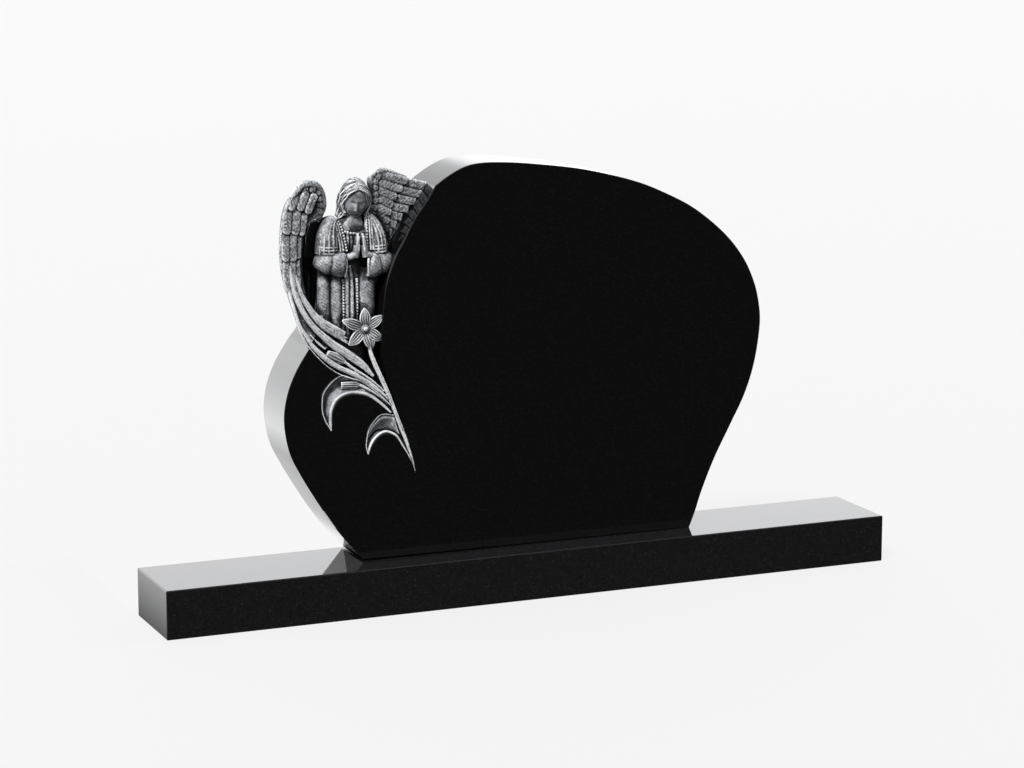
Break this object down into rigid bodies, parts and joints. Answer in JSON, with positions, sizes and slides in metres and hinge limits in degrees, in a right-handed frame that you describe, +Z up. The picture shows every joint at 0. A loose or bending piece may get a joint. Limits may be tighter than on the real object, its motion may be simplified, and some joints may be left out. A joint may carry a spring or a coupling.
{
  "type": "upright granite headstone on a base, with a carved angel and lily",
  "caption": "Polished black granite headstone of flowing outline on a long low base, a praying angel and a lily carved at its upper left.",
  "frame": {"origin": "centre of the base's underside, on the surface that it stands on", "axes": "+X along the base to the viewer's right, -Y out of the polished face, +Z up"},
  "size_m": [1.6, 0.2, 0.8977],
  "materials": {
    "base_granite": "polished black granite with fine dark grain",
    "headstone_granite": "polished black granite with fine dark grain",
    "carved_granite": "matt tooled granite, pale on the ridges and near black in the hollows"
  },
  "bodies": {
    "root": {"base": "base_granite", "headstone": "headstone_granite"}
  },
  "joints": []
}
